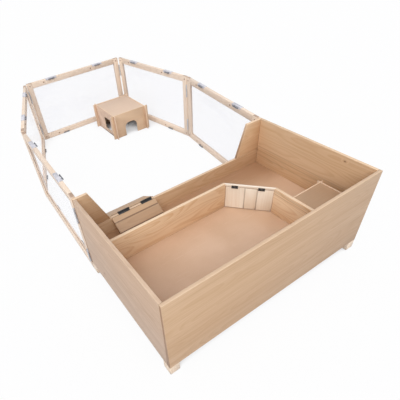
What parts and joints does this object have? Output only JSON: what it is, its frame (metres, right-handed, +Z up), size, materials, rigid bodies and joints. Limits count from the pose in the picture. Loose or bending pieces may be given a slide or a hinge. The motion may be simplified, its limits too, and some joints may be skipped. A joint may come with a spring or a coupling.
{
  "type": "small animal enclosure",
  "caption": "Open wooden small animal box on feet with dividers, a swinging flap, a hinged ramp and hide houses, joined to a folding pen of framed clear panels.",
  "frame": {"origin": "middle of the whole footprint, on the ground", "axes": "+X to the right along the box's front wall, +Y from the box's front wall towards the pen, +Z up"},
  "size_m": [1.2702, 2.3578, 0.4655],
  "materials": {
    "wall_wood": "satin lacquered pale pine",
    "floor_wood": "matt pale board",
    "flap_wood": "pale bare pine",
    "frame_wood": "pale planed batten",
    "house_wood": "pale thin board",
    "pane_clear": "clear gloss",
    "black_hinge": "black satin",
    "steel_fitting": "brushed"
  },
  "bodies": {
    "box": {"front_wall": "wall_wood", "left_wall": "wall_wood", "right_wall": "wall_wood", "rear_low_wall": "wall_wood", "rear_left_upright": "wall_wood", "rear_right_upright": "wall_wood", "floor_panel": "floor_wood", "feet": "wall_wood", "long_divider": "wall_wood", "short_divider": "wall_wood", "flap_rail": "flap_wood", "box_hinge_leaves": "black_hinge"},
    "flap": {"flap_boards": "flap_wood", "flap_hinge_leaves": "black_hinge"},
    "ramp_inner": {"ramp_inner_upper_plank": "flap_wood", "ramp_inner_lower_plank": "flap_wood", "ramp_inner_hinge_leaves": "black_hinge"},
    "ramp_outer": {"ramp_outer_board": "flap_wood", "ramp_outer_hinge_leaves": "black_hinge"},
    "large_house": {"large_house_front_wall": "house_wood", "large_house_rear_wall": "house_wood", "large_house_left_wall": "house_wood", "large_house_right_wall": "house_wood", "large_house_roof": "house_wood"},
    "small_house": {"small_house_front_wall": "house_wood", "small_house_rear_wall": "house_wood", "small_house_left_wall": "house_wood", "small_house_right_wall": "house_wood", "small_house_roof": "house_wood"},
    "pen_left_first": {"pen_left_first_near_stile": "frame_wood", "pen_left_first_far_stile": "frame_wood", "pen_left_first_bottom_rail": "frame_wood", "pen_left_first_top_rail": "frame_wood", "pen_left_first_pane": "pane_clear", "pen_left_first_fittings": "steel_fitting"},
    "pen_left_second": {"pen_left_second_near_stile": "frame_wood", "pen_left_second_far_stile": "frame_wood", "pen_left_second_bottom_rail": "frame_wood", "pen_left_second_top_rail": "frame_wood", "pen_left_second_pane": "pane_clear", "pen_left_second_fittings": "steel_fitting"},
    "pen_left_third": {"pen_left_third_near_stile": "frame_wood", "pen_left_third_far_stile": "frame_wood", "pen_left_third_bottom_rail": "frame_wood", "pen_left_third_top_rail": "frame_wood", "pen_left_third_pane": "pane_clear", "pen_left_third_fittings": "steel_fitting"},
    "pen_right_first": {"pen_right_first_near_stile": "frame_wood", "pen_right_first_far_stile": "frame_wood", "pen_right_first_bottom_rail": "frame_wood", "pen_right_first_top_rail": "frame_wood", "pen_right_first_pane": "pane_clear", "pen_right_first_fittings": "steel_fitting"},
    "pen_right_second": {"pen_right_second_near_stile": "frame_wood", "pen_right_second_far_stile": "frame_wood", "pen_right_second_bottom_rail": "frame_wood", "pen_right_second_top_rail": "frame_wood", "pen_right_second_pane": "pane_clear", "pen_right_second_fittings": "steel_fitting"}
  },
  "joints": [
    {"name": "flap_swing", "type": "hinge", "parent": "box", "child": "flap", "pos_m": [0.07308, -0.69071, 0.323], "axis": [-0.6452, 0.764, 0], "range_deg": [0, 90]},
    {"name": "ramp_inner_lift", "type": "hinge", "parent": "box", "child": "ramp_inner", "pos_m": [-0.47178, -0.47441, 0.284], "axis": [-1, 0, 0], "range_deg": [0, 110]},
    {"name": "ramp_outer_lift", "type": "hinge", "parent": "box", "child": "ramp_outer", "pos_m": [-0.47178, -0.47441, 0.284], "axis": [1, 0, 0], "range_deg": [0, 110]},
    {"name": "pen_left_first_swing", "type": "hinge", "parent": "box", "child": "pen_left_first", "pos_m": [-0.63108, -0.46431, 0], "axis": [0, 0, 1], "range_deg": [0, 85]},
    {"name": "pen_left_second_swing", "type": "hinge", "parent": "pen_left_first", "child": "pen_left_second", "pos_m": [-0.58255, 0.35095, 0], "axis": [0, 0, 1], "range_deg": [0, 16]},
    {"name": "pen_left_third_swing", "type": "hinge", "parent": "pen_left_second", "child": "pen_left_third", "pos_m": [-0.32898, 1.12676, 0], "axis": [0, 0, 1], "range_deg": [0, 69]},
    {"name": "pen_right_first_swing", "type": "hinge", "parent": "box", "child": "pen_right_first", "pos_m": [0.52752, -0.46431, 0], "axis": [0, 0, -1], "range_deg": [0, 75]},
    {"name": "pen_right_second_swing", "type": "hinge", "parent": "pen_right_first", "child": "pen_right_second", "pos_m": [0.61137, 0.34808, 0], "axis": [0, 0, -1], "range_deg": [0, 16]},
    {"name": "large_house_lift", "type": "slide", "parent": "box", "child": "large_house", "axis": [0, 0, 1], "range_m": [0, 0.3]},
    {"name": "small_house_lift", "type": "slide", "parent": "box", "child": "small_house", "axis": [0, 0, 1], "range_m": [0, 0.3]}
  ]
}
